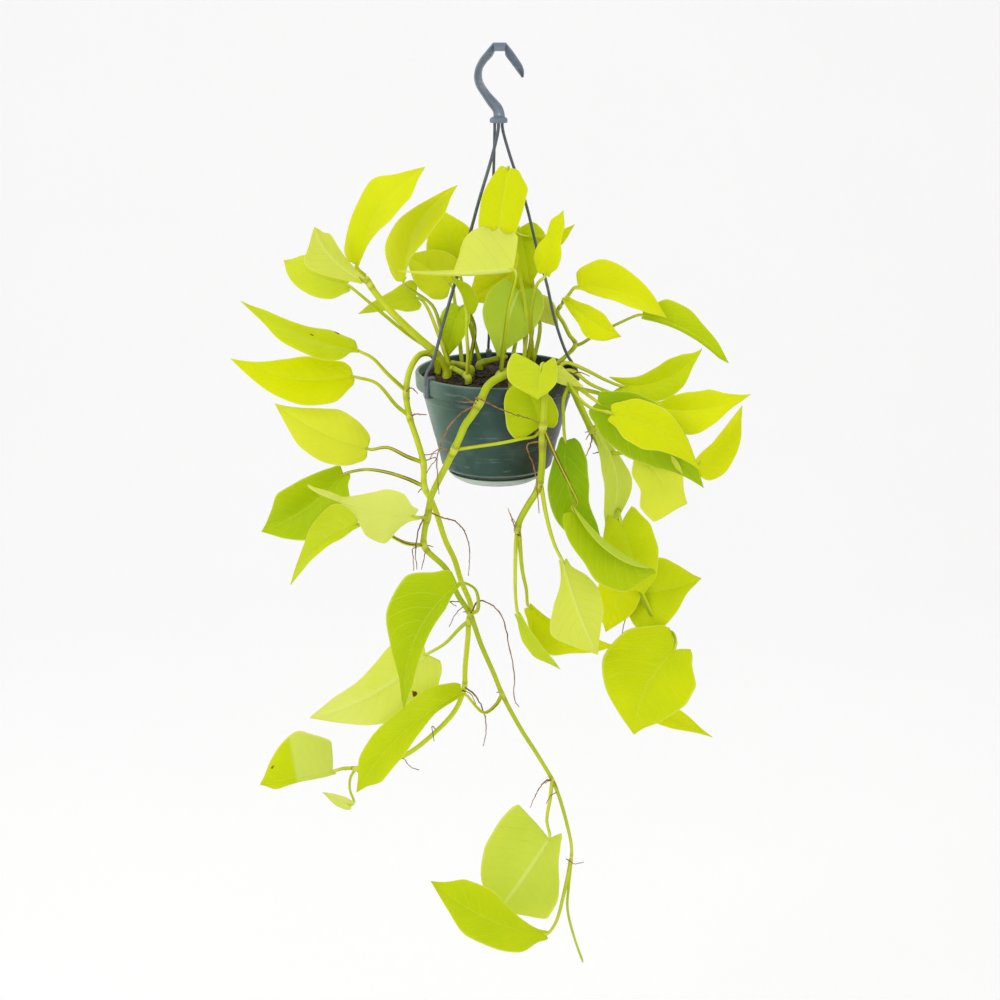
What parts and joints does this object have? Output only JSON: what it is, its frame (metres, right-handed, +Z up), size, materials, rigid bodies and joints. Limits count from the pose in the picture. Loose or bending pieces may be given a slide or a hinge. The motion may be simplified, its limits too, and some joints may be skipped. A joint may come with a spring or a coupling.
{
  "type": "potted golden pothos",
  "caption": "Trailing lime-leaved pothos in a round plastic hanging pot with a clip-on saucer and a hooked three-strand hanger.",
  "frame": {"origin": "the point under the hook's bow where the hook bears on what it hangs from, on the axis of the pot", "axes": "+Z up along the plumb line of the hanging pot, the front of the plant faces -Y"},
  "size_m": [0.469, 0.1987, 0.8944],
  "materials": {
    "pot_plastic": "satin moulded plastic, dark teal, a little scuffed",
    "saucer_plastic": "translucent pale grey-green plastic",
    "hanger_plastic": "dark grey-green moulded plastic",
    "soil": "rough damp bark and peat",
    "foliage_lime": "satin lime leaves and stems",
    "foliage_green": "satin yellow-green leaves and stems"
  },
  "bodies": {
    "root": {"pot": "pot_plastic", "saucer": "saucer_plastic", "soil": "soil", "hanger_hook": "hanger_plastic", "hanger_strand_left": "hanger_plastic", "hanger_strand_right": "hanger_plastic", "hanger_strand_back": "hanger_plastic", "vine_left": "foliage_lime", "vine_right": "foliage_lime", "vine_upper_right": "foliage_lime", "shoot_left": "foliage_lime", "shoot_crown_centre": "foliage_lime", "vine_long": "foliage_green", "vine_front": "foliage_green", "shoot_front_left": "foliage_green", "shoot_crown_left": "foliage_green", "shoot_crown_back": "foliage_green", "shoot_crown_right": "foliage_green"}
  },
  "joints": []
}
